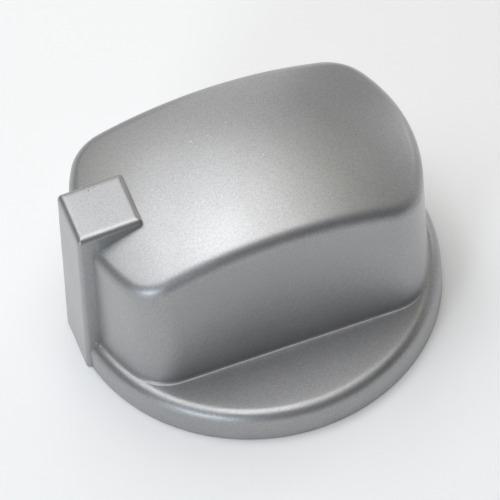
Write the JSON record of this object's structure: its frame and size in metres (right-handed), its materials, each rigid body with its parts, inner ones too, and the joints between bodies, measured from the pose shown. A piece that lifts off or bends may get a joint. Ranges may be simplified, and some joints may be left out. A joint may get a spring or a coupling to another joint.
{
  "type": "oven control knob",
  "caption": "Oven control knob: round skirt, domed bar grip with a raised pointer block, hollow ribbed underside and a slotted spindle boss held by a spring clip.",
  "frame": {"origin": "on the spindle axis, in the plane of the skirt's rim, at the mouth of the bore", "axes": "+Z out of the appliance towards the dome, X along the grip with the pointer at -X"},
  "size_m": [0.0452, 0.045, 0.0263],
  "materials": {
    "silver_painted_abs": "satin metallic silver paint on moulded ABS",
    "spring_steel": "bright rolled strip"
  },
  "bodies": {
    "root": {"knob_body": "silver_painted_abs", "spring_clip": "spring_steel"}
  },
  "joints": []
}
